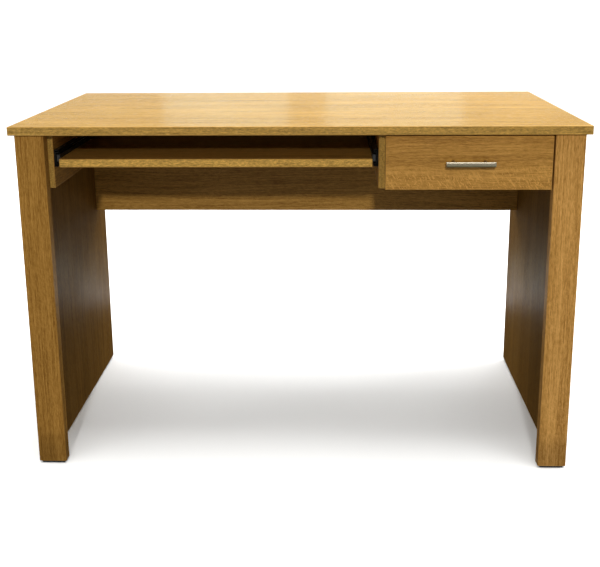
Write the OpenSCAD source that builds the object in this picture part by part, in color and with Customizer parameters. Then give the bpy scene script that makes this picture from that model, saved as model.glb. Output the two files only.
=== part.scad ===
// Computer desk with a pull-out keyboard tray and one drawer.
// Origin: on the floor, in the middle of the desk's footprint.
// +X runs to the user's right, -Y is the user's side, +Z is up. Millimetres.

/* [Desktop] */
// Width of the desktop
top_w = 1170; // [1100:10:1400]
// Depth of the desktop
top_d = 600; // [580:5:700]
// Height of the desktop's upper face
desk_h = 750; // [720:5:780]
// Thickness of the desktop, tray, drawer front, supports and modesty panel
board_t = 18; // [18:1:20]
// Radius of the desktop's edges
top_edge_r = 1.5; // [0.5:0.5:3]
// How far the desktop stands out past the sides
side_overhang = 10; // [5:1:25]
// How far the desktop stands out past the posts
front_overhang = 10; // [5:1:25]
// How far the desktop stands out past the side panels at the back
back_overhang = 5; // [0:1:20]

/* [Legs] */
// Thickness of the side panels and of the front posts
side_t = 25; // [22:1:28]
// Width of each front post
post_w = 60; // [50:1:70]
// Radius of the front posts' upright edges
post_edge_r = 2.5; // [1:0.5:4]
// Height of the plastic glides
glide_h = 6; // [4:1:10]

/* [Modesty panel] */
// Height of the modesty panel
modesty_h = 280; // [240:10:400]
// Distance from the desktop's front edge to the modesty panel's front face
modesty_set = 507; // [490:1:520]

/* [Tray and drawer bays] */
// Height of the panels that carry the tray and the drawer
support_h = 115; // [110:1:140]
// How far the outer supports stand in from the posts' inner faces
support_in = 11; // [9:1:15]
// Clear width between the two panels that carry the tray
tray_bay_w = 668.5; // [600:0.5:700]
// Height from the tray's upper face to the desktop's lower face
keyboard_gap = 52.5; // [45:0.5:60]
// Depth of the keyboard tray
tray_d = 350; // [300:10:360]
// How far the tray's front edge stands behind the desktop's front edge
tray_set = 28; // [20:1:35]

/* [Drawer] */
// Height of the drawer front
drawer_front_h = 110; // [104:1:112]
// How far the drawer front laps over the centre divider
drawer_lap = 5; // [3:0.5:8]
// Gap at the top and at the outer side of the drawer front
drawer_gap = 3.5; // [2:0.5:4]
// Height of the drawer box
drawer_box_h = 80; // [70:1:84]
// Depth of the drawer box
drawer_box_d = 360; // [352:2:400]
// Thickness of the drawer box's walls
drawer_wall_t = 12; // [12:1:15]
// Thickness of the drawer's bottom panel
drawer_floor_t = 5; // [3:1:6]

/* [Handle] */
// Distance between the handle's two posts, centre to centre
handle_span = 64; // [64:1:80]
// Length of the handle's bar
handle_l = 98; // [92:1:140]
// Diameter of the handle's bar
handle_dia = 11; // [10:0.5:12]
// How far the handle stands out from the drawer front
handle_out = 32; // [28:1:35]
// How far the handle sits above the middle of the drawer front
handle_rise = 2; // [0:1:10]

/* [Ball-bearing slides] */
// Length of each slide
rail_l = 350; // [300:10:350]
// Height of each slide
rail_h = 35; // [35:1:45]
// Thickness of each slide
rail_t = 12.7; // [12.7:0.1:13]
// Balls in each row of a cage
balls_per_row = 5; // [3:1:8]

/* [Hidden] */
$fn = 48;
cut = 1;

// Colours
oak_light = [0.86, 0.70, 0.45];
oak_mid = [0.62, 0.45, 0.24];
oak_dark = [0.45, 0.31, 0.16];
box_board = [0.80, 0.71, 0.55];
rail_black = [0.06, 0.06, 0.06];
cage_grey = [0.35, 0.36, 0.37];
ball_steel = [0.75, 0.76, 0.78];
zinc = [0.62, 0.63, 0.65];
nickel = [0.74, 0.70, 0.62];
beech = [0.80, 0.64, 0.42];
plastic_black = [0.08, 0.08, 0.08];

// Front to back. The handle is the foremost piece, so half of its reach past the
// desktop shifts everything back and keeps the origin in the middle of the footprint.
handle_reach = handle_out - front_overhang;
top_front_y = handle_reach / 2 - top_d / 2;
top_back_y = top_front_y + top_d;
post_front_y = top_front_y + front_overhang;
post_back_y = post_front_y + side_t;
side_back_y = top_back_y - back_overhang;
modesty_front_y = top_front_y + modesty_set;
modesty_mid_y = modesty_front_y + board_t / 2;
tray_front_y = top_front_y + tray_set;
drawer_front_back_y = post_front_y + board_t;
divider_gap = 2;
divider_front_y = drawer_front_back_y + divider_gap;
rail_set = 3;
rail_front_y = post_back_y + rail_set;
rail_rear_y = rail_front_y + rail_l;

// Upwards
top_low_z = desk_h - board_t;
side_low_z = glide_h;
modesty_low_z = top_low_z - modesty_h;
support_low_z = top_low_z - support_h;
tray_top_z = top_low_z - keyboard_gap;
tray_low_z = tray_top_z - board_t;
tray_rail_z = tray_low_z + rail_h / 2;
drawer_front_top_z = top_low_z - drawer_gap;
drawer_front_low_z = drawer_front_top_z - drawer_front_h;
drawer_mid_z = (drawer_front_top_z + drawer_front_low_z) / 2;
drawer_box_drop = 2;
drawer_box_low_z = drawer_mid_z - drawer_box_h / 2 - drawer_box_drop;
drawer_rail_up = 34;
drawer_rail_z = drawer_box_low_z + drawer_rail_up;

// Left to right
side_out_x = top_w / 2 - side_overhang;
side_in_x = side_out_x - side_t;
side_mid_x = side_out_x - side_t / 2;
post_in_x = side_out_x - post_w;
support_in_x = post_in_x - support_in;
support_out_x = support_in_x + board_t;
divider_left_x = -support_in_x + tray_bay_w;
divider_right_x = divider_left_x + board_t;
divider_mid_x = divider_left_x + board_t / 2;
tray_left_x = -support_in_x + rail_t;
tray_right_x = divider_left_x - rail_t;
drawer_left_x = divider_right_x + rail_t;
drawer_right_x = support_in_x - rail_t;
drawer_front_left_x = divider_right_x - drawer_lap;
drawer_front_right_x = post_in_x - drawer_gap;
handle_x = (drawer_front_left_x + drawer_front_right_x) / 2;
handle_z = drawer_mid_z + handle_rise;

// Edge radii of the smaller boards
edge_r = 1;
drawer_edge_r = 1.2;

// How far pieces of one solid run into each other
lap = 1;

// ---------------------------------------------------------------- boards

// Flat rectangle with round corners, from its low corner.
module round_rect(w, h, r) {
  translate([r, 0]) square([w - 2 * r, h]);
  translate([0, r]) square([w, h - 2 * r]);
  for (x = [r, w - r], y = [r, h - r]) {
    translate([x, y]) circle(r);
  }
}

// Board with every edge rounded, between two corners.
module board(low, high, r) {
  s = high - low;
  translate(low) {
    intersection() {
      linear_extrude(s[2]) round_rect(s[0], s[1], r);
      translate([0, s[1], 0]) rotate([90, 0, 0]) linear_extrude(s[1]) round_rect(s[0], s[2], r);
      rotate([90, 0, 90]) linear_extrude(s[0]) round_rect(s[1], s[2], r);
    }
  }
}

// Board with square edges, between two corners.
module plain_board(low, high) {
  translate(low) cube(high - low);
}

// ---------------------------------------------------------------- cam fittings and dowels
// Local frame: the joint is at z = 0, the drilled board edge is above it, and the cam
// faces +x. A place is [position, rotation, thickness of the board that holds the cam].

cam_r = 7.5;
cam_depth = 12.5;
cam_reach = 34;
cam_bolt_r = 3;
cam_neck_r = 1.8;
cam_head_r = 3.2;
cam_thread_r = 2.5;
cam_thread_l = 11;
dowel_r = 4;
dowel_deep = 20;
dowel_shallow = 11;
bore_play = 0.1;
cam_play = 0.5;

down_left = [0, 180, 0];
down_right = [180, 0, 0];
down_back = [180, 0, 90];
left_edge_back = [90, 0, 90];
right_edge_back = [-90, 0, 90];

top_cam_y = [-170, 170];
panel_cam_low_z = modesty_low_z + 50;
panel_cam_high_z = support_low_z - 25;
panel_cam_z = [panel_cam_low_z, panel_cam_high_z];
modesty_cam_x = [-300, 300];
support_mid_x = support_in_x + board_t / 2;

side_cams = [
  for (y = top_cam_y) [[-side_mid_x, y, top_low_z], down_right, side_t],
  for (y = top_cam_y) [[side_mid_x, y, top_low_z], down_left, side_t]
];
support_cams = [
  for (y = top_cam_y) [[-support_mid_x, y, top_low_z], down_left, board_t],
  for (y = top_cam_y) [[divider_mid_x, y, top_low_z], down_right, board_t],
  for (y = top_cam_y) [[support_mid_x, y, top_low_z], down_right, board_t]
];
modesty_cams = [
  for (x = modesty_cam_x) [[x, modesty_mid_y, top_low_z], down_back, board_t],
  for (z = panel_cam_z) [[-side_in_x, modesty_mid_y, z], left_edge_back, board_t],
  for (z = panel_cam_z) [[side_in_x, modesty_mid_y, z], right_edge_back, board_t]
];
all_cams = concat(side_cams, support_cams, modesty_cams);

top_dowel_y = [-110, 110];
post_dowel_z = [120, 370, 620];
support_dowel_z = support_low_z + 30;
panel_dowel_z = (panel_cam_low_z + panel_cam_high_z) / 2;
support_xs = [-support_mid_x, divider_mid_x, support_mid_x];
down = [180, 0, 0];
back = [-90, 0, 0];
forward = [90, 0, 0];
inward_left = [0, 90, 0];
inward_right = [0, -90, 0];

top_dowels = [
  for (x = [-side_mid_x, side_mid_x], y = top_dowel_y) [[x, y, top_low_z], down],
  for (x = support_xs, y = top_dowel_y) [[x, y, top_low_z], down],
  for (x = [-post_in_x - side_t / 2, post_in_x + side_t / 2])
    [[x, post_back_y - side_t / 2, top_low_z], down],
  [[0, modesty_mid_y, top_low_z], down]
];
post_dowels = [
  for (x = [-side_mid_x, side_mid_x], z = post_dowel_z) [[x, post_back_y, z], back]
];
support_dowels = [
  for (x = support_xs) [[x, modesty_front_y, support_dowel_z], forward]
];
modesty_dowels = [
  [[-side_in_x, modesty_mid_y, panel_dowel_z], inward_left],
  [[side_in_x, modesty_mid_y, panel_dowel_z], inward_right]
];
all_dowels = concat(top_dowels, post_dowels, support_dowels, modesty_dowels);

// The three bores that one cam fitting needs.
module cam_bores(places) {
  for (p = places) {
    translate(p[0]) rotate(p[1]) {
      translate([0, 0, -cam_thread_l - bore_play])
        cylinder(r = cam_thread_r + bore_play, h = cam_thread_l + cut);
      cylinder(r = cam_bolt_r + cam_play, h = cam_reach);
      translate([p[2] / 2 - cam_depth - cam_play, 0, cam_reach])
        rotate([0, 90, 0]) cylinder(r = cam_r + bore_play, h = cam_depth + cam_play + cut);
    }
  }
}

module cam_lock(t) {
  slot_w = 1.4;
  slot_l = 9;
  slot_depth = 2.5;
  cavity_r = 4;
  translate([t / 2 - cam_depth, 0, cam_reach]) difference() {
    rotate([0, 90, 0]) cylinder(r = cam_r, h = cam_depth);
    translate([cam_depth - t / 2, 0, -cam_r - cut]) cylinder(r = cavity_r, h = cam_r + cut + lap);
    translate([cam_depth - slot_depth, -slot_w / 2, -slot_l / 2]) cube([slot_depth + cut, slot_w, slot_l]);
    translate([cam_depth - slot_depth, -slot_l / 2, -slot_w / 2]) cube([slot_depth + cut, slot_l, slot_w]);
  }
}

module cam_bolt() {
  neck_z = 24;
  head_z = 29;
  head_l = 4;
  translate([0, 0, -cam_thread_l]) cylinder(r = cam_thread_r, h = cam_thread_l + lap);
  cylinder(r = cam_bolt_r, h = neck_z);
  translate([0, 0, neck_z - lap]) cylinder(r = cam_neck_r, h = head_z - neck_z + 2 * lap);
  translate([0, 0, head_z]) cylinder(r = cam_head_r, h = head_l);
}

// A dowel runs dowel_deep mm into the board above the joint and dowel_shallow mm below it.
module dowels(places, play = 0) {
  for (p = places) {
    translate(p[0]) rotate(p[1]) translate([0, 0, -dowel_shallow - play])
      cylinder(r = dowel_r + play, h = dowel_deep + dowel_shallow + 2 * play);
  }
}

// ---------------------------------------------------------------- slides
// Local frame of one slide: x runs from the fixed panel's face (0) to the moving
// board (rail_t), y is the desk's y, z is measured from the slide's centre line.

wall = 1.15;
ball_r = 1.5;
race_r = 1.8;
lip_angle = 25;
outer_ball_x = 6.8;
inner_ball_x = 7.6;
outer_ball_z = rail_h / 2 - wall - race_r;
middle_h = 2 * (outer_ball_z - race_r);
inner_ball_z = middle_h / 2 - wall - race_r;
inner_h = 2 * (inner_ball_z - race_r);
middle_x = 2.6;
inner_tip_x = 5.2;
cage_t = 0.5;
cage_l = 150;
cage_mid_y = (rail_front_y + rail_rear_y) / 2;
outer_cage_x = 1.6;
inner_cage_x = 4.1;
cage_tip = 2.4;
bearing_play = 0.15;
outer_screw_s = [35, 163, 291];
outer_screw_l = 14;
inner_screw_s = [70, 200, 320];
access_r = 4.5;
through_wall = 2 * wall;
tray_flange_w = 14;

// A channel whose open ends hook round a row of balls at the top and the bottom.
module hooked_channel(web_x, height, ball_x, ball_z) {
  ring_r = race_r + wall;
  translate([web_x, -height / 2]) square([wall, height]);
  for (m = [0, 1]) {
    mirror([0, m]) {
      translate([web_x, height / 2 - wall]) square([ball_x - web_x, wall]);
      translate([ball_x, ball_z]) intersection() {
        difference() {
          circle(ring_r);
          circle(race_r);
        }
        polygon([
          [0, 0],
          [ring_r * 2, ring_r * 2 * tan(lip_angle)],
          [ring_r * 2, ring_r * 2],
          [0, ring_r * 2]
        ]);
      }
    }
  }
}

// Runs a flat (x, z) shape along the slide.
module along_rail(front_y, length) {
  translate([0, front_y + length, 0]) rotate([90, 0, 0]) linear_extrude(length) children();
}

module countersunk_screw(length, play = 0) {
  head_r = 3.1;
  shank_r = 1.75;
  cone_l = 1.6;
  // The head's face is at x = 0 and the shank runs towards -x.
  rotate([0, -90, 0]) {
    cylinder(r1 = head_r + play, r2 = shank_r + play, h = cone_l);
    cylinder(r = shank_r + play, h = length + play);
  }
}

pan_r = 3.2;
pan_h = 1.6;
pan_shank_r = 1.75;

// The head's flat underside is at x = 0 and the shank runs towards +x.
module pan_screw(length) {
  rotate([0, 90, 0]) {
    translate([0, 0, -pan_h]) cylinder(r = pan_r, h = pan_h);
    translate([0, 0, -pan_h / 2]) cylinder(r = pan_shank_r, h = length + pan_h / 2);
  }
}

module pan_bore(length) {
  rotate([0, 90, 0]) translate([0, 0, -cut])
    cylinder(r = pan_shank_r + bore_play, h = length + bore_play + cut);
}

module outer_rail() {
  difference() {
    along_rail(rail_front_y, rail_l) hooked_channel(0, rail_h, outer_ball_x, outer_ball_z);
    for (s = outer_screw_s) {
      translate([wall, rail_front_y + s, 0]) countersunk_screw(through_wall, bore_play);
    }
  }
}

module outer_screws() {
  for (s = outer_screw_s) {
    translate([wall, rail_front_y + s, 0]) countersunk_screw(outer_screw_l);
  }
}

module outer_screw_bores() {
  for (s = outer_screw_s) {
    translate([wall, rail_front_y + s, 0]) countersunk_screw(outer_screw_l, bore_play);
  }
}

module access_holes(x) {
  for (s = outer_screw_s) {
    translate([x - cut, rail_front_y + s, 0]) rotate([0, 90, 0])
      cylinder(r = access_r, h = wall + 2 * cut);
  }
}

module middle_rail() {
  difference() {
    along_rail(rail_front_y, rail_l) hooked_channel(middle_x, middle_h, inner_ball_x, inner_ball_z);
    access_holes(middle_x);
  }
}

module inner_channel() {
  translate([rail_t - wall, -inner_h / 2]) square([wall, inner_h]);
  for (z = [-inner_h / 2, inner_h / 2 - wall]) {
    translate([inner_tip_x, z]) square([rail_t - inner_tip_x, wall]);
  }
}

// Inner rail of the drawer: screwed to the drawer's side through its web.
module drawer_inner_rail() {
  difference() {
    along_rail(rail_front_y, rail_l) inner_channel();
    access_holes(rail_t - wall);
    for (s = inner_screw_s) {
      translate([rail_t - wall, rail_front_y + s, 0]) pan_bore(through_wall);
    }
  }
}

// Inner rail of the tray: its web runs down past the tray's edge and turns under it.
module tray_inner_rail() {
  drop = rail_h / 2 + wall;
  difference() {
    along_rail(rail_front_y, rail_l) {
      inner_channel();
      translate([rail_t - wall, -drop]) square([wall, drop]);
      translate([rail_t - wall, -drop]) square([tray_flange_w + wall, wall]);
    }
    access_holes(rail_t - wall);
    for (s = inner_screw_s) {
      translate([rail_t + tray_flange_w / 2, rail_front_y + s, -drop]) rotate([0, -90, 0])
        pan_bore(through_wall);
    }
  }
}

module inner_bumper() {
  bumper_l = 8;
  bumper_set = 1;
  side_gap = 0.4;
  h = inner_h - 2 * wall - 2 * side_gap;
  translate([inner_tip_x + side_gap, rail_front_y + bumper_set, -h / 2])
    cube([rail_t - wall - inner_tip_x - side_gap, bumper_l, h]);
}

cage_end = 10;
first_ball_y = cage_mid_y - cage_l / 2 + cage_end;
ball_pitch = (cage_l - 2 * cage_end) / (balls_per_row - 1);
ball_places = [for (i = [0 : balls_per_row - 1]) first_ball_y + i * ball_pitch];

module balls(ball_x, ball_z) {
  for (y = ball_places, z = [-ball_z, ball_z]) {
    translate([ball_x, y, z]) sphere(ball_r);
  }
}

// Strip that keeps the balls of both rows apart.
module cage(web_x, ball_x, ball_z) {
  arm_l = ball_x + cage_tip - web_x;
  difference() {
    along_rail(cage_mid_y - cage_l / 2, cage_l) {
      translate([web_x, -ball_z - cage_t / 2]) square([cage_t, 2 * ball_z + cage_t]);
      for (z = [-ball_z, ball_z]) {
        translate([web_x, z - cage_t / 2]) square([arm_l, cage_t]);
      }
    }
    for (y = ball_places, z = [-ball_z, ball_z]) {
      translate([ball_x, y, z - cut]) cylinder(r = ball_r + bearing_play, h = 2 * cut);
    }
  }
}

// Where each slide stands: on a panel's face, looking towards +x or, mirrored, towards -x.
module tray_left() {
  translate([-support_in_x, 0, tray_rail_z]) children();
}

module tray_right() {
  translate([divider_left_x, 0, tray_rail_z]) mirror([1, 0, 0]) children();
}

module drawer_left() {
  translate([divider_right_x, 0, drawer_rail_z]) children();
}

module drawer_right() {
  translate([support_in_x, 0, drawer_rail_z]) mirror([1, 0, 0]) children();
}

// ---------------------------------------------------------------- desk

module desktop() {
  color(oak_light) difference() {
    board([-top_w / 2, top_front_y, top_low_z], [top_w / 2, top_back_y, desk_h], top_edge_r);
    cam_bores(concat(side_cams, support_cams, [modesty_cams[0], modesty_cams[1]]));
    dowels(top_dowels, bore_play);
  }
}

module side_panel(x) {
  color(oak_dark) difference() {
    board([x, post_back_y, side_low_z], [x + side_t, side_back_y, top_low_z], edge_r);
    cam_bores(all_cams);
    dowels(all_dowels, bore_play);
    all_glide_screws(bore_play);
  }
}

module left_side_panel() {
  side_panel(-side_out_x);
}

module right_side_panel() {
  side_panel(side_in_x);
}

module front_post(x) {
  color(oak_mid) difference() {
    translate([x, post_front_y, side_low_z]) linear_extrude(top_low_z - side_low_z)
      round_rect(post_w, side_t, post_edge_r);
    dowels(concat(top_dowels, post_dowels), bore_play);
    all_glide_screws(bore_play);
  }
}

module left_front_post() {
  front_post(-side_out_x);
}

module right_front_post() {
  front_post(post_in_x);
}

module modesty_panel() {
  color(oak_dark) difference() {
    board([-side_in_x, modesty_front_y, modesty_low_z],
          [side_in_x, modesty_front_y + board_t, top_low_z], edge_r);
    cam_bores(modesty_cams);
    dowels(concat(top_dowels, support_dowels, modesty_dowels), bore_play);
  }
}

module support(x, front_y) {
  color(oak_mid) difference() {
    board([x, front_y, support_low_z], [x + board_t, modesty_front_y, top_low_z], edge_r);
    cam_bores(support_cams);
    dowels(concat(top_dowels, support_dowels), bore_play);
    children();
  }
}

module left_tray_support() {
  support(-support_out_x, post_back_y) tray_left() outer_screw_bores();
}

module centre_divider() {
  support(divider_left_x, divider_front_y) {
    tray_right() outer_screw_bores();
    drawer_left() outer_screw_bores();
  }
}

module right_drawer_support() {
  support(support_in_x, post_back_y) drawer_right() outer_screw_bores();
}

// Glides: a flat pad with a smaller sole, held by two countersunk screws.
glide_end_in = 4;
glide_side_in = 3;
glide_step = 1.2;
glide_recess_r = 3.2;
glide_screw_l = 16;
rear_glide_l = 60;
rear_glide_in = 15;
front_glide_size = [post_w - 2 * glide_end_in, side_t - 2 * glide_side_in];
rear_glide_size = [side_t - 2 * glide_side_in, rear_glide_l];
front_glide_y = post_front_y + side_t / 2;
rear_glide_y = side_back_y - rear_glide_in - rear_glide_l / 2;
front_glide_x = side_out_x - post_w / 2;
glide_screw_z = 2.4;
glide_screw_offset = 15;

module glide_screw(play = 0) {
  translate([0, 0, glide_screw_z]) rotate([0, 90, 0]) countersunk_screw(glide_screw_l, play);
}

module glide_screw_pair(size, play = 0) {
  along_x = size[0] > size[1];
  for (d = [-glide_screw_offset, glide_screw_offset]) {
    translate(along_x ? [d, 0, 0] : [0, d, 0]) glide_screw(play);
  }
}

module all_glide_screws(play = 0) {
  for (side = [-1, 1]) {
    translate([side * front_glide_x, front_glide_y, 0]) glide_screw_pair(front_glide_size, play);
    translate([side * side_mid_x, rear_glide_y, 0]) glide_screw_pair(rear_glide_size, play);
  }
}

module glide(size) {
  sole = size - 2 * [glide_step, glide_step];
  corner_r = 3;
  color(plastic_black) difference() {
    union() {
      translate([-size[0] / 2, -size[1] / 2, glide_h / 2]) linear_extrude(glide_h / 2)
        round_rect(size[0], size[1], corner_r);
      translate([-sole[0] / 2, -sole[1] / 2, 0]) linear_extrude(glide_h / 2 + lap)
        round_rect(sole[0], sole[1], corner_r - glide_step);
    }
    glide_screw_pair(size, bore_play);
    for (d = [-glide_screw_offset, glide_screw_offset]) {
      translate(size[0] > size[1] ? [d, 0, -cut] : [0, d, -cut])
        cylinder(r = glide_recess_r, h = glide_screw_z + cut);
    }
  }
}

module front_left_glide() {
  translate([-front_glide_x, front_glide_y, 0]) glide(front_glide_size);
}

module front_right_glide() {
  translate([front_glide_x, front_glide_y, 0]) glide(front_glide_size);
}

module rear_left_glide() {
  translate([-side_mid_x, rear_glide_y, 0]) glide(rear_glide_size);
}

module rear_right_glide() {
  translate([side_mid_x, rear_glide_y, 0]) glide(rear_glide_size);
}

module glide_screws() {
  color(zinc) all_glide_screws();
}

module cam_locks() {
  color(zinc) for (p = all_cams) {
    translate(p[0]) rotate(p[1]) cam_lock(p[2]);
  }
}

module cam_bolts() {
  color(zinc) for (p = all_cams) {
    translate(p[0]) rotate(p[1]) cam_bolt();
  }
}

module wooden_dowels() {
  color(beech) dowels(all_dowels);
}

module tray_rail_outer_left() {
  color(rail_black) tray_left() outer_rail();
}

module tray_rail_outer_right() {
  color(rail_black) tray_right() outer_rail();
}

module drawer_rail_outer_left() {
  color(rail_black) drawer_left() outer_rail();
}

module drawer_rail_outer_right() {
  color(rail_black) drawer_right() outer_rail();
}

module outer_rail_screws() {
  color(zinc) {
    tray_left() outer_screws();
    tray_right() outer_screws();
    drawer_left() outer_screws();
    drawer_right() outer_screws();
  }
}

// ---------------------------------------------------------------- keyboard tray

tray_screw_l = 12;

// Screws up through the tray rails' flanges, or the bores for them.
module tray_fixings(bores) {
  for (side = [0, 1], s = inner_screw_s) {
    x = side == 0 ? tray_left_x + tray_flange_w / 2 : tray_right_x - tray_flange_w / 2;
    translate([x, rail_front_y + s, tray_low_z - wall]) rotate([0, -90, 0]) {
      if (bores) pan_bore(tray_screw_l); else pan_screw(tray_screw_l);
    }
  }
}

module keyboard_tray() {
  color(oak_mid) difference() {
    board([tray_left_x, tray_front_y, tray_low_z], [tray_right_x, tray_front_y + tray_d, tray_top_z], edge_r);
    tray_fixings(true);
  }
}

module tray_rail_inner_left() {
  color(rail_black) tray_left() tray_inner_rail();
}

module tray_rail_inner_right() {
  color(rail_black) tray_right() tray_inner_rail();
}

module tray_screws() {
  color(zinc) tray_fixings(false);
}

module tray_rail_bumpers() {
  color(cage_grey) {
    tray_left() inner_bumper();
    tray_right() inner_bumper();
  }
}

module tray_rail_middle_left() {
  color(rail_black) tray_left() middle_rail();
}

module tray_rail_middle_right() {
  color(rail_black) tray_right() middle_rail();
}

module tray_outer_cages() {
  color(cage_grey) {
    tray_left() cage(outer_cage_x, outer_ball_x, outer_ball_z);
    tray_right() cage(outer_cage_x, outer_ball_x, outer_ball_z);
  }
}

module tray_outer_balls() {
  color(ball_steel) {
    tray_left() balls(outer_ball_x, outer_ball_z);
    tray_right() balls(outer_ball_x, outer_ball_z);
  }
}

module tray_inner_cages() {
  color(cage_grey) {
    tray_left() cage(inner_cage_x, inner_ball_x, inner_ball_z);
    tray_right() cage(inner_cage_x, inner_ball_x, inner_ball_z);
  }
}

module tray_inner_balls() {
  color(ball_steel) {
    tray_left() balls(inner_ball_x, inner_ball_z);
    tray_right() balls(inner_ball_x, inner_ball_z);
  }
}

// ---------------------------------------------------------------- drawer

box_front_y = drawer_front_back_y;
box_back_y = box_front_y + drawer_box_d;
box_low_z = drawer_box_low_z;
box_top_z = box_low_z + drawer_box_h;
groove_depth = 6;
groove_up = 8;
groove_z = box_low_z + groove_up;
groove_play = 0.1;
box_screw_l = 30;
box_screw_z = [box_low_z + 20, box_top_z - 16];
front_screw_l = 24;
front_screw_x = 110;
front_screw_z = 22;
handle_r = handle_dia / 2;
handle_post_r = 4;
handle_chamfer = 0.6;
handle_bar_y = post_front_y - handle_out + handle_r;
handle_screw_r = 2;
handle_screw_depth = 9;
handle_head_r = 4;
handle_head_h = 2.4;
handle_screw_inner_y = box_front_y + drawer_wall_t;

// Room for the drawer's bottom panel in the four walls.
module floor_groove() {
  translate([drawer_left_x + drawer_wall_t - groove_depth - groove_play,
             box_front_y + drawer_wall_t - groove_depth - groove_play, groove_z - groove_play])
    cube([drawer_right_x - drawer_left_x - 2 * (drawer_wall_t - groove_depth - groove_play),
          drawer_box_d - 2 * (drawer_wall_t - groove_depth - groove_play),
          drawer_floor_t + 2 * groove_play]);
}

// Screws through the box's sides into its front and back, or the bores for them.
module box_fixings(bores) {
  for (y = [box_front_y + drawer_wall_t / 2, box_back_y - drawer_wall_t / 2], z = box_screw_z) {
    translate([drawer_left_x, y, z]) mirror([1, 0, 0])
      countersunk_screw(box_screw_l, bores ? bore_play : 0);
    translate([drawer_right_x, y, z]) countersunk_screw(box_screw_l, bores ? bore_play : 0);
  }
}

// Screws from inside the box into the drawer front, or the bores for them.
module front_fixings(bores) {
  for (dx = [-front_screw_x, front_screw_x], dz = [-front_screw_z, front_screw_z]) {
    translate([handle_x + dx, handle_screw_inner_y, drawer_mid_z + dz]) rotate([0, 0, -90]) {
      if (bores) pan_bore(front_screw_l); else pan_screw(front_screw_l);
    }
  }
}

// The handle's two screws, or the bores for them.
module handle_fixings(play = 0) {
  through = handle_screw_inner_y - post_front_y;
  length = through + handle_screw_depth;
  for (dx = [-handle_span / 2, handle_span / 2]) {
    translate([handle_x + dx, handle_screw_inner_y, handle_z]) rotate([90, 0, 0])
      translate([0, 0, -cut]) cylinder(r = handle_screw_r + play, h = length + play + cut);
  }
}

module drawer_front() {
  color(oak_mid) difference() {
    board([drawer_front_left_x, post_front_y, drawer_front_low_z],
          [drawer_front_right_x, drawer_front_back_y, drawer_front_top_z], drawer_edge_r);
    front_fixings(true);
    handle_fixings(bore_play);
  }
}

module drawer_box_front() {
  color(box_board) difference() {
    plain_board([drawer_left_x + drawer_wall_t, box_front_y, box_low_z],
                [drawer_right_x - drawer_wall_t, box_front_y + drawer_wall_t, box_top_z]);
    floor_groove();
    box_fixings(true);
    front_fixings(true);
    handle_fixings(bore_play);
  }
}

module drawer_back() {
  color(box_board) difference() {
    plain_board([drawer_left_x + drawer_wall_t, box_back_y - drawer_wall_t, box_low_z],
                [drawer_right_x - drawer_wall_t, box_back_y, box_top_z]);
    floor_groove();
    box_fixings(true);
  }
}

module drawer_side(x) {
  color(box_board) difference() {
    plain_board([x, box_front_y, box_low_z], [x + drawer_wall_t, box_back_y, box_top_z]);
    floor_groove();
    box_fixings(true);
    drawer_left() inner_screw_bores();
    drawer_right() inner_screw_bores();
  }
}

module drawer_left_side() {
  drawer_side(drawer_left_x);
}

module drawer_right_side() {
  drawer_side(drawer_right_x - drawer_wall_t);
}

module drawer_bottom() {
  color(box_board)
    translate([drawer_left_x + drawer_wall_t - groove_depth,
               box_front_y + drawer_wall_t - groove_depth, groove_z])
      cube([drawer_right_x - drawer_left_x - 2 * (drawer_wall_t - groove_depth),
            drawer_box_d - 2 * (drawer_wall_t - groove_depth), drawer_floor_t]);
}

inner_screw_l = 9;

module inner_screws() {
  for (s = inner_screw_s) {
    translate([rail_t - wall, rail_front_y + s, 0]) pan_screw(inner_screw_l);
  }
}

module inner_screw_bores() {
  for (s = inner_screw_s) {
    translate([rail_t - wall, rail_front_y + s, 0]) pan_bore(inner_screw_l);
  }
}

module drawer_rail_inner_left() {
  color(rail_black) drawer_left() drawer_inner_rail();
}

module drawer_rail_inner_right() {
  color(rail_black) drawer_right() drawer_inner_rail();
}

module drawer_rail_screws() {
  color(zinc) {
    drawer_left() inner_screws();
    drawer_right() inner_screws();
  }
}

module drawer_box_screws() {
  color(zinc) box_fixings(false);
}

module drawer_front_screws() {
  color(zinc) front_fixings(false);
}

module drawer_rail_bumpers() {
  color(cage_grey) {
    drawer_left() inner_bumper();
    drawer_right() inner_bumper();
  }
}

// Straight round bar with chamfered ends, on two posts.
module handle() {
  straight = handle_l / 2 - handle_chamfer;
  post_l = post_front_y - handle_bar_y;
  color(nickel) translate([handle_x, handle_bar_y, handle_z]) difference() {
    union() {
      for (m = [0, 1]) {
        mirror([m, 0, 0]) {
          rotate([0, 90, 0]) cylinder(r = handle_r, h = straight);
          translate([straight, 0, 0]) rotate([0, 90, 0])
            cylinder(r1 = handle_r, r2 = handle_r - handle_chamfer, h = handle_chamfer);
          translate([handle_span / 2, 0, 0]) rotate([-90, 0, 0]) cylinder(r = handle_post_r, h = post_l);
        }
      }
    }
    translate([-handle_x, -handle_bar_y, -handle_z]) handle_fixings(bore_play);
  }
}

module handle_screws() {
  color(zinc) {
    handle_fixings();
    for (dx = [-handle_span / 2, handle_span / 2]) {
      translate([handle_x + dx, handle_screw_inner_y, handle_z]) rotate([-90, 0, 0])
        cylinder(r = handle_head_r, h = handle_head_h);
    }
  }
}

module drawer_rail_middle_left() {
  color(rail_black) drawer_left() middle_rail();
}

module drawer_rail_middle_right() {
  color(rail_black) drawer_right() middle_rail();
}

module drawer_outer_cages() {
  color(cage_grey) {
    drawer_left() cage(outer_cage_x, outer_ball_x, outer_ball_z);
    drawer_right() cage(outer_cage_x, outer_ball_x, outer_ball_z);
  }
}

module drawer_outer_balls() {
  color(ball_steel) {
    drawer_left() balls(outer_ball_x, outer_ball_z);
    drawer_right() balls(outer_ball_x, outer_ball_z);
  }
}

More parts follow.
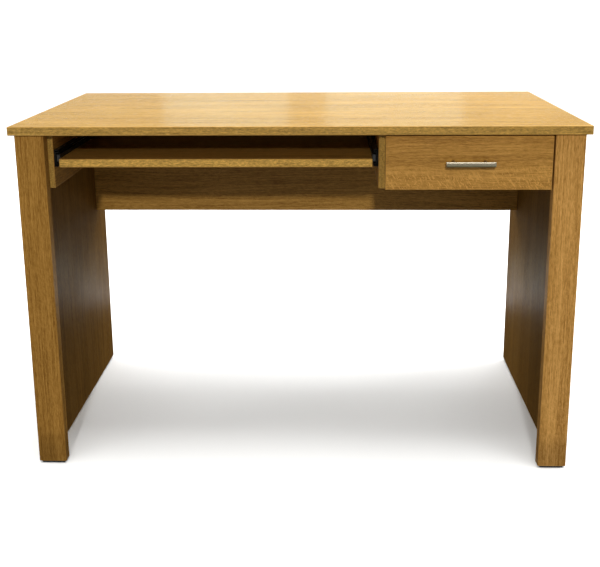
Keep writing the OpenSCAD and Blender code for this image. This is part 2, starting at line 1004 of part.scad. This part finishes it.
module drawer_inner_cages() {
  color(cage_grey) {
    drawer_left() cage(inner_cage_x, inner_ball_x, inner_ball_z);
    drawer_right() cage(inner_cage_x, inner_ball_x, inner_ball_z);
  }
}

module drawer_inner_balls() {
  color(ball_steel) {
    drawer_left() balls(inner_ball_x, inner_ball_z);
    drawer_right() balls(inner_ball_x, inner_ball_z);
  }
}

desktop();
left_side_panel();
right_side_panel();
left_front_post();
right_front_post();
modesty_panel();
left_tray_support();
centre_divider();
right_drawer_support();
front_left_glide();
front_right_glide();
rear_left_glide();
rear_right_glide();
glide_screws();
cam_locks();
cam_bolts();
wooden_dowels();
tray_rail_outer_left();
tray_rail_outer_right();
drawer_rail_outer_left();
drawer_rail_outer_right();
outer_rail_screws();
keyboard_tray();
tray_rail_inner_left();
tray_rail_inner_right();
tray_screws();
tray_rail_bumpers();
tray_rail_middle_left();
tray_rail_middle_right();
tray_outer_cages();
tray_outer_balls();
tray_inner_cages();
tray_inner_balls();
drawer_front();
drawer_box_front();
drawer_left_side();
drawer_right_side();
drawer_back();
drawer_bottom();
drawer_rail_inner_left();
drawer_rail_inner_right();
drawer_rail_screws();
drawer_box_screws();
drawer_front_screws();
drawer_rail_bumpers();
handle();
handle_screws();
drawer_rail_middle_left();
drawer_rail_middle_right();
drawer_outer_cages();
drawer_outer_balls();
drawer_inner_cages();
drawer_inner_balls();
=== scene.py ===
"""Looks of the computer desk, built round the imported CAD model. Metres, +Z up, -Y is the user's side."""
import math

import bpy
from mathutils import Matrix, Vector


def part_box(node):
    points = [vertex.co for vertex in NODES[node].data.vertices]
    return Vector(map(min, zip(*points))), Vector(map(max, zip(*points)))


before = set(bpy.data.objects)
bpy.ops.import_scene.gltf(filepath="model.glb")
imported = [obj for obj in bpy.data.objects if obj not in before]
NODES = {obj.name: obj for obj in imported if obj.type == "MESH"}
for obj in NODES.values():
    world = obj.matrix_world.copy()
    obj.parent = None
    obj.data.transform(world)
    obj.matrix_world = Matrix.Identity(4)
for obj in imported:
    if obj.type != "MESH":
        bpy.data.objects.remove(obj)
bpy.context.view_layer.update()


# ------------------------------------------------------------------ camera

def make_camera():
    """Standing in front of the desk, a little to the right, looking down over its top."""
    data = bpy.data.cameras.new("camera")
    camera = bpy.data.objects.new("camera", data)
    bpy.context.scene.collection.objects.link(camera)
    eye = Vector((0.067, -2.045, 1.017))
    pitch, yaw, roll = math.radians(12.94), math.radians(-2.02), math.radians(-0.44)
    turn = Matrix.Rotation(-yaw, 4, "Z") @ Matrix.Rotation(math.pi / 2 - pitch, 4, "X")
    camera.matrix_world = Matrix.Translation(eye) @ turn @ Matrix.Rotation(roll, 4, "Z")
    data.sensor_width = 36.0
    data.lens = 53.5
    data.shift_y = -0.15
    data.clip_start = 0.05
    bpy.context.scene.camera = camera


# ------------------------------------------------------------------ node helper

class Shader:
    """A material's node tree, with short ways to add the nodes used here."""

    def __init__(self, name, **constants):
        self.material = bpy.data.materials.new(name)
        self.material.use_nodes = True
        self.tree = self.material.node_tree
        self.bsdf = self.tree.nodes["Principled BSDF"]
        for socket, value in constants.items():
            self.bsdf.inputs[socket.replace("_", " ")].default_value = value
        coordinates = self.add("ShaderNodeTexCoord")
        self.place = coordinates.outputs["Object"]

    def add(self, kind, **settings):
        node = self.tree.nodes.new(kind)
        for key, value in settings.items():
            setattr(node, key, value)
        return node

    def feed(self, socket, value):
        """Links value to the socket if it is another node's output, or stores it there."""
        if isinstance(value, bpy.types.NodeSocket):
            self.tree.links.new(value, socket)
        else:
            socket.default_value = value

    def math(self, operation, a, b=0.0, c=0.0):
        node = self.add("ShaderNodeMath", operation=operation)
        for socket, value in zip(node.inputs, (a, b, c)):
            self.feed(socket, value)
        return node.outputs[0]

    def split(self, vector):
        node = self.add("ShaderNodeSeparateXYZ")
        self.feed(node.inputs[0], vector)
        return node.outputs[0], node.outputs[1], node.outputs[2]

    def join(self, x, y, z):
        node = self.add("ShaderNodeCombineXYZ")
        for socket, value in zip(node.inputs, (x, y, z)):
            self.feed(socket, value)
        return node.outputs[0]

    def stretch(self, x, y, z, scales):
        """A vector from three coordinates, each with its own scale in cycles a metre."""
        return self.join(*(self.math("MULTIPLY", v, s) for v, s in zip((x, y, z), scales)))

    def noise(self, vector, detail=2.0, roughness=0.5, distortion=0.0):
        node = self.add("ShaderNodeTexNoise")
        self.feed(node.inputs["Vector"], vector)
        node.inputs["Scale"].default_value = 1.0
        node.inputs["Detail"].default_value = detail
        node.inputs["Roughness"].default_value = roughness
        node.inputs["Distortion"].default_value = distortion
        return node.outputs["Fac"]

    def step(self, value, low, high, to_low=0.0, to_high=1.0):
        """A smooth step of value from low to high."""
        node = self.add("ShaderNodeMapRange", interpolation_type="SMOOTHSTEP")
        for socket, v in zip(node.inputs, (value, low, high, to_low, to_high)):
            self.feed(socket, v)
        return node.outputs[0]

    def linear(self, value, low, high, to_low, to_high):
        node = self.add("ShaderNodeMapRange")
        for socket, v in zip(node.inputs, (value, low, high, to_low, to_high)):
            self.feed(socket, v)
        return node.outputs[0]

    def ramp(self, value, *stops):
        """Colours along value: each stop is (position, (r, g, b))."""
        node = self.add("ShaderNodeValToRGB")
        self.feed(node.inputs[0], value)
        elements = node.color_ramp.elements
        while len(elements) < len(stops):
            elements.new(0.5)
        for element, (position, colour) in zip(elements, stops):
            element.position = position
            element.color = (*colour, 1.0)
        return node.outputs["Color"]

    def mix(self, amount, a, b, blend="MIX"):
        node = self.add("ShaderNodeMix", data_type="RGBA", blend_type=blend)
        self.feed(node.inputs["Factor"], amount)
        for name, value in (("A", a), ("B", b)):
            socket = [s for s in node.inputs if s.name == name and s.type == "RGBA"][0]
            self.feed(socket, value if isinstance(value, bpy.types.NodeSocket) else (*value, 1.0))
        return [s for s in node.outputs if s.type == "RGBA"][0]

    def shaded(self, colour, shade):
        """The colour made lighter or darker by the factor shade."""
        return self.mix(1.0, colour, self.join(shade, shade, shade), "MULTIPLY")

    def random(self, value):
        """One steady random number from 0 to 1 for each whole value."""
        node = self.add("ShaderNodeTexWhiteNoise", noise_dimensions="1D")
        self.feed(node.inputs["W"], value)
        return node.outputs["Value"]

    def bump(self, height, distance, strength=1.0):
        node = self.add("ShaderNodeBump")
        self.feed(node.inputs["Height"], height)
        node.inputs["Distance"].default_value = distance
        node.inputs["Strength"].default_value = strength
        self.feed(self.bsdf.inputs["Normal"], node.outputs[0])

    def surface(self, colour, roughness):
        self.feed(self.bsdf.inputs["Base Color"], colour)
        self.feed(self.bsdf.inputs["Roughness"], roughness)


def tint(colour, factor, shift=(1.0, 1.0, 1.0)):
    """The colour made factor times as bright, with its hue shifted, and held below full white."""
    return tuple(min(c * factor * s, 1.0) for c, s in zip(colour, shift))


def edge_distance(sh, node):
    """Distances from a point to the nearest of each pair of the node's box faces, in metres."""
    low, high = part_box(node)
    out = []
    for value, a, b in zip(sh.split(sh.place), low, high):
        out.append(sh.math("MINIMUM", sh.math("SUBTRACT", value, a), sh.math("SUBTRACT", b, value)))
    return out


def middle_of(sh, a, b, c):
    """The middle one of three values."""
    smaller, larger = sh.math("MINIMUM", a, b), sh.math("MAXIMUM", a, b)
    return sh.math("MAXIMUM", smaller, sh.math("MINIMUM", larger, c))


# ------------------------------------------------------------------ oak veneer

OAK = (0.40, 0.196, 0.037)
BAND = (0.375, 0.216, 0.047)

# Shifts of the oak's hue, towards its pale ray flakes and towards its dark pores.
PALE = (1.0, 1.06, 1.30)
DARK = (1.0, 0.84, 0.55)

# How often each pattern repeats, in cycles a metre: along the grain, across it, and through the board.
RING_BEND = (1.4, 4.0, 4.0)
BROAD_STREAK = (0.9, 42.0, 30.0)
FINE_STREAK = (6.0, 290.0, 290.0)
DASH = (60.0, 380.0, 380.0)
MOTTLE = (45.0, 110.0, 110.0)
PORE = (75.0, 900.0, 900.0)
RAY = (220.0, 110.0, 110.0)
RAY_PATCH = (5.0, 14.0, 14.0)
CLOUD = (1.8, 5.0, 5.0)
BAND_SPECKLE = (130.0, 380.0, 380.0)
BAND_LINE = (7.0, 60.0, 320.0)
SMUDGE = (7.0, 7.0, 7.0)

# Where details begin and end, in metres from the board's edge or face, and above the floor.
WORN_EDGE = (0.0020, 0.0004)
EDGE_BAND = (0.0006, 0.0013)
GLUE_LINE = (0.0022, 0.0010)
# The painted shade at the foot of a post fades out between these heights.
FOOT_SHADE = (0.045, 0.115)

# Half the width of the joint between two leaves, and half the depth over which one face's painted shade
# passes into the other's, in metres.
LEAF_JOINT = 0.0003
FACE_BLEND = 0.001


class Veneer:
    """One board's veneer: its own coordinates, along and across the grain, and the patterns in them."""

    def __init__(self, sh, node, grain, thin, seed, leaf, leaf_start, figure):
        self.sh = sh
        self.thin = "XYZ".index(thin)
        self.low, self.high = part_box(node)
        xyz = dict(zip("XYZ", sh.split(sh.place)))
        side = [axis for axis in "XYZ" if axis not in (grain, thin)][0]
        self.across, self.depth = xyz[side], xyz[thin]

        # Each leaf shows another stretch of the log.
        self.leaf_place = sh.math("DIVIDE", sh.math("SUBTRACT", self.across, leaf_start), leaf)
        self.leaf_random = sh.random(sh.math("ADD", sh.math("FLOOR", self.leaf_place), seed * 13.7))
        shift = sh.math("MULTIPLY_ADD", self.leaf_random, 7.3, seed * 1.37)
        self.along = sh.math("ADD", xyz[grain], shift)

        # The growth rings wander slowly from side to side.
        bend = sh.math("SUBTRACT", self.pattern(RING_BEND), 0.5)
        self.across = sh.math("ADD", self.across, sh.math("MULTIPLY", bend, 0.09 * figure))

    def pattern(self, scales, *settings):
        return self.sh.noise(self.sh.stretch(self.along, self.across, self.depth, scales), *settings)


def grain_colour(sh, veneer, base, contrast, rings, streaks):
    """The wood's own colour: broad rings, with finer streaks, dashes and mottle over them."""
    dashes = veneer.pattern(DASH, 3.0, 0.8)
    mottle = veneer.pattern(MOTTLE, 3.0, 0.7)
    value = sh.linear(rings, 0.25, 0.75, 0.25, 0.75)
    for detail, amount in ((streaks, 1.9), (dashes, 2.0), (mottle, 0.35)):
        value = sh.math("MULTIPLY_ADD", sh.math("SUBTRACT", detail, 0.5), amount * contrast, value)
    dark, light = tint(base, 0.58, (1.03, 0.92, 0.72)), tint(base, 1.38, (1.0, 1.05, 1.22))
    return sh.ramp(value, (0.0, dark), (0.5, base), (1.0, light))


def open_pores(sh, veneer, rings):
    """Short dark dashes, thickest in the early wood."""
    early_wood = sh.step(rings, 0.62, 0.40, 0.35, 1.0)
    return sh.math("MULTIPLY", sh.step(veneer.pattern(PORE, 1.0), 0.56, 0.66), early_wood)


def ray_flakes(sh, veneer, top):
    """Medullary rays: short pale flakes at a slant to the grain, in patches, or all over below top."""
    slant = sh.math("MULTIPLY_ADD", veneer.across, 0.6, veneer.along)
    ray = sh.noise(sh.stretch(slant, veneer.across, veneer.depth, RAY), 2.0, 0.6, 1.2)
    patch = veneer.pattern(RAY_PATCH)
    if top is None:
        flaked = sh.step(patch, 0.44, 0.60)
    else:
        flaked = sh.step(sh.math("MULTIPLY_ADD", patch, 0.06, veneer.across), top + 0.045, top + 0.015)
    return sh.math("MULTIPLY", sh.step(ray, 0.50, 0.62), flaked)


def tone_and_painted_shade(sh, veneer, face_shades, foot_shade):
    """How light the veneer is on the whole: by its leaf and its slow clouds, and by painted shade on its
    faces and at its foot.
    """
    cloud = veneer.pattern(CLOUD, 1.0)
    shade = sh.linear(veneer.leaf_random, 0.0, 1.0, 0.95, 1.05)
    shade = sh.math("MULTIPLY", shade, sh.linear(cloud, 0.3, 0.7, 0.94, 1.06))
    # Painted shade: one face of the board darker than the other.
    if face_shades:
        middle = (veneer.low[veneer.thin] + veneer.high[veneer.thin]) / 2
        face = sh.linear(veneer.depth, middle - FACE_BLEND, middle + FACE_BLEND, *face_shades)
        shade = sh.math("MULTIPLY", shade, face)
    # Painted shade: the board darker towards its foot.
    if foot_shade < 1.0:
        height = sh.math("MULTIPLY_ADD", cloud, 0.03, sh.split(sh.place)[2])
        shade = sh.math("MULTIPLY", shade, sh.step(height, *FOOT_SHADE, foot_shade, 1.0))
    return shade


def edge_band(sh, veneer, tone, from_face):
    """The strip of another veneer glued round the edges, with a dark line of glue along each face."""
    speckle = sh.math("MULTIPLY", veneer.pattern(BAND_SPECKLE, 3.0, 0.8), 0.7)
    value = sh.math("MULTIPLY_ADD", veneer.pattern(BAND_LINE, 2.0, 0.6), 0.3, speckle)
    dark, middle, light = (tint(BAND, factor * tone) for factor in (0.52, 1.0, 1.6))
    band = sh.ramp(value, (0.36, dark), (0.5, middle), (0.64, light))
    glue = sh.step(from_face, *GLUE_LINE)
    return sh.mix(sh.math("MULTIPLY", glue, 0.45), band, tint(BAND, 0.35 * tone))


def lacquer(sh, veneer, leaf, gloss, pores, streaks, worn):
    """Smooth lacquer, uneven in places, dull in the pores and on rubbed edges. Returns its roughness."""
    smudge = sh.noise(sh.stretch(*sh.split(sh.place), SMUDGE), 3.0, 0.6)
    roughness = sh.linear(smudge, 0.3, 0.7, gloss - 0.04, gloss + 0.05)
    roughness = sh.math("MULTIPLY_ADD", pores, 0.15, roughness)
    joint = sh.math("ABSOLUTE", sh.math("SUBTRACT", sh.math("FRACT", veneer.leaf_place), 0.5))
    joint = sh.step(joint, 0.5 - LEAF_JOINT / leaf, 0.5)
    hollow = sh.math("MAXIMUM", pores, sh.math("MULTIPLY", joint, 0.6))
    sh.bump(sh.math("MULTIPLY_ADD", streaks, 0.5, sh.math("MULTIPLY", hollow, -1.0)), 0.00012, 0.6)
    return sh.math("MULTIPLY_ADD", worn, 0.12, roughness)


def oak(node, grain, thin, seed, leaf, leaf_start=0.0, tone=1.0, hue=(1.0, 1.0, 1.0), contrast=1.0,
        figure=0.5, fleck=0.3, fleck_top=None, banded=True, band_tone=1.0, face_shades=None, foot_shade=1.0,
        gloss=0.32, specular=0.3):
    """Oak veneer on one board.
    grain, thin: the axis that the grain runs along, and the axis through the board
    leaf, leaf_start: the width of its veneer leaves in metres, and where one of their joints lies
    tone, hue, contrast: how light it is, the balance of its colour, and how strong its grain is
    figure, fleck: how far the rings wander, and how strong the ray flakes are
    fleck_top: the height below which the flakes are everywhere, instead of in patches
    banded, band_tone: whether its edges have another veneer, and how light that is
    face_shades, foot_shade: the painted shade of the thin axis's low and high faces, and of the end below
    gloss, specular: the lacquer's roughness, and how strongly it reflects"""
    sh = Shader("oak_" + node, Specular_IOR_Level=specular)
    veneer = Veneer(sh, node, grain, thin, seed, leaf, leaf_start, figure)
    base = tint(OAK, tone, hue)
    rings = veneer.pattern(BROAD_STREAK, 3.0, 0.62)
    streaks = veneer.pattern(FINE_STREAK, 3.0, 0.75)
    pores = open_pores(sh, veneer, rings)
    distances = edge_distance(sh, node)
    worn = sh.step(middle_of(sh, *distances), *WORN_EDGE)

    colour = grain_colour(sh, veneer, base, contrast, rings, streaks)
    rays = ray_flakes(sh, veneer, fleck_top)
    colour = sh.mix(sh.math("MULTIPLY", rays, fleck), colour, tint(base, 1.55, PALE))
    colour = sh.shaded(colour, tone_and_painted_shade(sh, veneer, face_shades, foot_shade))
    colour = sh.mix(sh.math("MULTIPLY", pores, 0.45), colour, tint(base, 0.40, DARK))
    if banded:
        from_face = distances[veneer.thin]
        band = edge_band(sh, veneer, band_tone, from_face)
        colour = sh.mix(sh.step(from_face, *EDGE_BAND), colour, band)
    colour = sh.mix(sh.math("MULTIPLY", worn, 0.28), colour, tint(base, 1.5, PALE))
    sh.surface(colour, lacquer(sh, veneer, leaf, gloss, pores, streaks, worn))
    return sh.material


# ------------------------------------------------------------------ other materials

def box_board():
    """Foil-wrapped board of the drawer box: pale, with a faint printed grain."""
    sh = Shader("box_board", Specular_IOR_Level=0.4)
    x, y, z = sh.split(sh.place)
    streak = sh.noise(sh.stretch(x, y, z, (6.0, 4.0, 190.0)), 3.0, 0.6)
    cloud = sh.noise(sh.stretch(x, y, z, (5.0, 5.0, 5.0)), 2.0)
    colour = sh.ramp(streak, (0.3, (0.50, 0.38, 0.22)), (0.5, (0.60, 0.47, 0.29)),
                     (0.7, (0.66, 0.54, 0.36)))
    shade = sh.linear(cloud, 0.3, 0.7, 0.95, 1.04)
    colour = sh.shaded(colour, shade)
    sh.bump(streak, 0.0001, 0.4)
    sh.surface(colour, sh.linear(cloud, 0.3, 0.7, 0.48, 0.58))
    return sh.material


def hardboard():
    """The drawer's bottom: pressed fibre with a speckle."""
    sh = Shader("hardboard", Specular_IOR_Level=0.3)
    fibre = sh.noise(sh.stretch(*sh.split(sh.place), (420.0, 420.0, 420.0)), 3.0, 0.7)
    patch = sh.noise(sh.stretch(*sh.split(sh.place), (9.0, 9.0, 9.0)), 2.0)
    colour = sh.ramp(fibre, (0.3, (0.40, 0.29, 0.17)), (0.7, (0.58, 0.46, 0.30)))
    shade = sh.linear(patch, 0.3, 0.7, 0.93, 1.05)
    colour = sh.shaded(colour, shade)
    sh.bump(fibre, 0.0002, 0.5)
    sh.surface(colour, sh.linear(fibre, 0.3, 0.7, 0.55, 0.70))
    return sh.material


def metal(name, dark, light, roughness, streak_scales, spread=0.08, speckle=0.0):
    """Bare or plated metal with fine streaks along the axis whose scale is the lowest."""
    sh = Shader(name, Metallic=1.0)
    xyz = sh.split(sh.place)
    streak = sh.noise(sh.stretch(*xyz, streak_scales), 3.0, 0.65)
    cloud = sh.noise(sh.stretch(*xyz, (60.0, 60.0, 60.0)), 2.0)
    value = sh.math("ADD", sh.math("MULTIPLY", streak, 0.7), sh.math("MULTIPLY", cloud, 0.3))
    colour = sh.ramp(value, (0.3, dark), (0.7, light))
    if speckle:
        spots = sh.step(sh.noise(sh.stretch(*xyz, (900.0, 900.0, 900.0)), 1.0), 0.60, 0.75)
        colour = sh.mix(sh.math("MULTIPLY", spots, speckle), colour, tint(dark, 0.5))
    sh.bump(streak, 0.00004, 0.5)
    sh.surface(colour, sh.linear(value, 0.3, 0.7, roughness - spread, roughness + spread))
    return sh.material


def black_coat():
    """Black electro-coat on the slides, rubbed a little along their length."""
    sh = Shader("black_coat", Specular_IOR_Level=0.15)
    xyz = sh.split(sh.place)
    rub = sh.noise(sh.stretch(*xyz, (900.0, 9.0, 900.0)), 3.0, 0.7)
    cloud = sh.noise(sh.stretch(*xyz, (40.0, 40.0, 40.0)), 2.0)
    colour = sh.ramp(cloud, (0.3, (0.004, 0.0037, 0.0033)), (0.7, (0.010, 0.0092, 0.0083)))
    colour = sh.mix(sh.math("MULTIPLY", sh.step(rub, 0.60, 0.78), 0.4), colour, (0.050, 0.047, 0.043))
    sh.bump(rub, 0.00003, 0.4)
    sh.surface(colour, sh.linear(cloud, 0.3, 0.7, 0.34, 0.46))
    return sh.material


def plastic(name, dark, light, roughness, specular=0.45):
    """Moulded plastic with a fine leathery grain."""
    sh = Shader(name, Specular_IOR_Level=specular)
    xyz = sh.split(sh.place)
    grain = sh.noise(sh.stretch(*xyz, (1400.0, 1400.0, 1400.0)), 2.0, 0.6)
    cloud = sh.noise(sh.stretch(*xyz, (80.0, 80.0, 80.0)), 2.0)
    colour = sh.ramp(cloud, (0.3, dark), (0.7, light))
    sh.bump(grain, 0.00008, 0.5)
    sh.surface(colour, sh.linear(grain, 0.3, 0.7, roughness - 0.05, roughness + 0.07))
    return sh.material


def beech():
    """Fluted beech of the dowels."""
    sh = Shader("beech", Specular_IOR_Level=0.3)
    fleck = sh.noise(sh.stretch(*sh.split(sh.place), (300.0, 300.0, 60.0)), 3.0, 0.6)
    sh.bump(fleck, 0.0001, 0.5)
    sh.surface(sh.ramp(fleck, (0.3, (0.50, 0.32, 0.16)), (0.7, (0.66, 0.46, 0.26))),
               sh.linear(fleck, 0.3, 0.7, 0.5, 0.65))
    return sh.material


# ------------------------------------------------------------------ materials of the CAD nodes

FLAT = dict(grain="X", thin="Z")
UPRIGHT = dict(grain="Z", thin="X", leaf=0.23, tone=0.95, figure=0.6, gloss=0.40, specular=0.035)
CARRIER = dict(grain="Y", thin="X", leaf=0.3, tone=0.9, band_tone=0.9, gloss=0.42, specular=0.15)
# The posts carry painted shade, darker towards the floor.
POST = dict(grain="Z", thin="Y", leaf=0.5, figure=0.2, fleck=0.2, banded=False, foot_shade=0.72, gloss=0.42,
            specular=0.06)

BOARDS = {
    # The desktop's tone and hue are partly its own colour and partly painted light: the stronger light and
    # pale sheen the top catches from above.
    "desktop": dict(FLAT, seed=3, leaf=0.195, leaf_start=-0.142, tone=1.30, hue=(1.0, 1.12, 1.33),
                    contrast=1.1, fleck=0.25, band_tone=1.2, gloss=0.16, specular=0.10),
    # The side panels' inner faces carry painted shade, darker than their outer faces.
    "left_side_panel": dict(UPRIGHT, seed=5, face_shades=(1.0, 0.48)),
    "right_side_panel": dict(UPRIGHT, seed=9, face_shades=(0.48, 1.0)),
    # The posts' tones differ partly by their veneer and partly by painted light, which falls stronger on
    # the right post.
    "left_front_post": dict(POST, seed=12, tone=0.92),
    "right_front_post": dict(POST, seed=17, tone=1.42, hue=(1.0, 1.04, 1.35)),
    # The modesty panel's front face carries a little painted shade.
    "modesty_panel": dict(grain="X", thin="Y", seed=21, leaf=0.24, tone=1.09, hue=(0.98, 1.03, 1.1),
                          face_shades=(0.9, 1.0), gloss=0.42, specular=0.15),
    "left_tray_support": dict(CARRIER, seed=26),
    "centre_divider": dict(CARRIER, seed=31),
    "right_drawer_support": dict(CARRIER, seed=34),
    # The tray's low tone and its darker top face are painted shade, for the shade it lies in under the
    # desktop.
    "keyboard_tray": dict(FLAT, seed=38, leaf=0.22, tone=0.78, band_tone=1.5, face_shades=(1.0, 0.8),
                          specular=0.15),
    "drawer_front": dict(grain="X", thin="Y", seed=44, leaf=0.5, leaf_start=0.4, tone=1.05, figure=0.7,
                         fleck=0.95, fleck_top=0.66, band_tone=1.15, specular=0.2),
}


def paint(material, *names):
    """Gives CAD nodes their material."""
    for name in names:
        mesh = NODES[name].data
        mesh.materials.clear()
        mesh.materials.append(material)


def paint_boards():
    for name, look in BOARDS.items():
        paint(oak(name, **look), name)
    paint(box_board(), "drawer_box_front", "drawer_left_side", "drawer_right_side", "drawer_back")
    paint(hardboard(), "drawer_bottom")
    paint(beech(), "wooden_dowels")


def paint_slides():
    rails = [f"{unit}_rail_{member}_{side}" for unit in ("tray", "drawer")
             for member in ("outer", "middle", "inner") for side in ("left", "right")]
    paint(black_coat(), *rails)
    strip = metal("strip_steel", (0.30, 0.31, 0.32), (0.44, 0.45, 0.46), 0.38, (900.0, 20.0, 900.0))
    balls = metal("ball_steel", (0.66, 0.66, 0.67), (0.76, 0.76, 0.77), 0.12, (300.0, 300.0, 300.0), 0.04)
    for unit in ("tray", "drawer"):
        paint(strip, f"{unit}_outer_cages", f"{unit}_inner_cages")
        paint(balls, f"{unit}_outer_balls", f"{unit}_inner_balls")
    grey = plastic("bumper_plastic", (0.030, 0.029, 0.028), (0.050, 0.049, 0.047), 0.5, 0.2)
    paint(grey, "tray_rail_bumpers", "drawer_rail_bumpers")


def paint_fittings():
    zinc = metal("zinc_plate", (0.42, 0.43, 0.45), (0.62, 0.63, 0.64), 0.34, (500.0, 500.0, 500.0),
                 speckle=0.3)
    paint(zinc, "glide_screws", "cam_locks", "cam_bolts", "outer_rail_screws", "tray_screws",
          "drawer_rail_screws", "drawer_box_screws", "drawer_front_screws", "handle_screws")
    nickel = metal("satin_nickel", (0.205, 0.180, 0.134), (0.250, 0.221, 0.166), 0.34,
                   (6.0, 1500.0, 1500.0))
    paint(nickel, "handle")
    black = plastic("glide_plastic", (0.012, 0.012, 0.012), (0.022, 0.022, 0.022), 0.45)
    paint(black, "front_left_glide", "front_right_glide", "rear_left_glide", "rear_right_glide")


# ------------------------------------------------------------------ studio

# The floor's flat part, the bend that turns it up, and its wall.
FLAT_R = 5.0
BEND_R = 2.5
WALL_R = FLAT_R + BEND_R
WALL_TOP = 6.0

# What most of the lights are aimed at.
DESK_MIDDLE = (0.0, 0.0, 0.4)


def make_floor():
    """A pale floor that turns up into a round wall far outside, so that no view shows its edge."""
    bend_steps, turns = 16, 96
    profile = [(r, 0.0) for r in (1.0, 2.0, 3.0, 4.0, FLAT_R)]
    for i in range(1, bend_steps + 1):
        a = math.pi / 2 * i / bend_steps
        profile.append((FLAT_R + BEND_R * math.sin(a), BEND_R * (1 - math.cos(a))))
    profile.append((WALL_R, WALL_TOP))

    circle = [2 * math.pi * t / turns for t in range(turns)]
    verts = [(0.0, 0.0, 0.0)]
    for r, z in profile:
        verts += [(r * math.cos(a), r * math.sin(a), z) for a in circle]
    faces = [(0, 1 + t, 1 + (t + 1) % turns) for t in range(turns)]
    for ring in range(len(profile) - 1):
        a, b = 1 + ring * turns, 1 + (ring + 1) * turns
        faces += [(a + t, b + t, b + (t + 1) % turns, a + (t + 1) % turns) for t in range(turns)]
    mesh = bpy.data.meshes.new("floor")
    mesh.from_pydata(verts, [], faces)
    mesh.shade_smooth()
    floor = bpy.data.objects.new("floor", mesh)
    bpy.context.scene.collection.objects.link(floor)

    sh = Shader("floor", Specular_IOR_Level=0.2)
    tone = sh.noise(sh.stretch(*sh.split(sh.place), (1.2, 1.2, 1.2)), 2.0)
    sh.surface(sh.ramp(tone, (0.3, (0.88, 0.88, 0.87)), (0.7, (0.92, 0.92, 0.91))), 0.75)
    mesh.materials.append(sh.material)
    floor.visible_diffuse = False
    return floor


def soft_box(name, place, target, size, power, only=None, glossy=True, colour=(1.0, 1.0, 1.0)):
    """A rectangular studio light aimed at a point, which the camera doesn't see. A light for only one
    object leaves the others as they are, though they still cast its shadow. One that isn't glossy
    doesn't show in reflections."""
    light = bpy.data.lights.new(name, "AREA")
    light.shape = "RECTANGLE"
    light.size, light.size_y = size
    light.energy = power
    light.color = colour
    lamp = bpy.data.objects.new(name, light)
    lamp.location = place
    lamp.rotation_euler = (Vector(target) - Vector(place)).to_track_quat("-Z", "Y").to_euler()
    lamp.visible_camera = False
    lamp.visible_glossy = glossy
    bpy.context.scene.collection.objects.link(lamp)
    if only:
        lit = bpy.data.collections.new(name)
        lit.objects.link(only)
        lamp.light_linking.receiver_collection = lit


def make_lights():
    soft_box("overhead", (0.6, 0.1, 3.4), DESK_MIDDLE, (2.2, 1.4), 100.0)
    soft_box("key", (0.0, -6.0, 2.75), (0.0, 0.0, 0.6), (0.25, 0.18), 162.0, glossy=False)
    for x, y, power in ((-4.5, 1.4, 60.0), (4.5, 1.4, 60.0), (0.0, 5.0, 40.0)):
        soft_box("side_fill", (x, y, 1.7), DESK_MIDDLE, (1.6, 1.2), power, glossy=False)


def light_the_floor(floor):
    """Lights for the floor and its wall alone, which keep the background white in every view."""
    soft_box("floor_fill", (0.0, 0.0, 5.5), (0.0, 0.0, 0.0), (7.0, 7.0), 430.0, only=floor, glossy=False)
    washes, wash_r, wash_height, aim_height = 8, 3.4, 5.0, 1.3
    for i in range(washes):
        a = 2 * math.pi * i / washes
        place = (wash_r * math.sin(a), wash_r * math.cos(a), wash_height)
        target = (WALL_R * math.sin(a), WALL_R * math.cos(a), aim_height)
        soft_box("wall_wash", place, target, (2.4, 1.0), 95.0, only=floor, glossy=False)


def card(half_width, near, far, tone=0.06, hue=(1.0, 0.91, 0.62)):
    """A dark or tinted card, half_width metres each side of the middle, from the edge near to the edge
    far, both given as y and z. It shows only in reflections."""
    mesh = bpy.data.meshes.new("flag")
    corners = [(-half_width, *near), (half_width, *near), (half_width, *far), (-half_width, *far)]
    mesh.from_pydata(corners, [], [(0, 1, 2, 3)])
    flag = bpy.data.objects.new("flag", mesh)
    bpy.context.scene.collection.objects.link(flag)
    sh = Shader("flag", Roughness=0.9, Specular_IOR_Level=0.0)
    cloth = sh.noise(sh.stretch(*sh.split(sh.place), (3.0, 3.0, 3.0)), 2.0)
    colour = tint(hue, tone)
    sh.surface(sh.ramp(cloth, (0.3, tint(colour, 0.85)), (0.7, tint(colour, 1.15))), 0.9)
    mesh.materials.append(sh.material)
    flag.visible_camera = False
    flag.visible_diffuse = False
    flag.visible_shadow = False


def make_reflections():
    """What the lacquer mirrors, besides the floor and its wall."""
    # Behind the desk stand a warm card, for the sheen of the top, and two windows for its pale bands.
    card(3.0, (2.6, 0.95), (2.6, 3.6), 0.57, (1.0, 0.87, 0.47))
    window_y, window_z, window_height = 2.5, 1.9, 1.9
    for x, width in ((-0.47, 0.64), (0.39, 0.70)):
        soft_box("window", (x, window_y, window_z), (x, 0.0, window_z), (width, window_height), 1.6,
                 colour=(0.64, 0.91, 0.90))

    # From the user's side to behind the desk lie the cards that shape the sheen of the upright boards.
    card(4.0, (-4.8, 0.003), (-0.25, 0.003), 0.55, (0.94, 1.0, 0.82))
    card(2.0, (-0.25, 0.004), (0.75, 0.004))
    card(2.0, (0.92, 0.004), (1.30, 0.004), 1.0, (0.93, 1.0, 0.80))
    card(2.0, (1.30, 0.004), (3.5, 0.004))


def make_world():
    scene = bpy.context.scene
    scene.view_settings.view_transform = "Standard"
    scene.world = bpy.data.worlds.new("world")
    scene.world.use_nodes = True
    background = scene.world.node_tree.nodes["Background"]
    background.inputs["Color"].default_value = (1.0, 0.99, 0.97, 1.0)
    background.inputs["Strength"].default_value = 0.25


make_camera()
make_world()
make_lights()
light_the_floor(make_floor())
make_reflections()
paint_boards()
paint_slides()
paint_fittings()
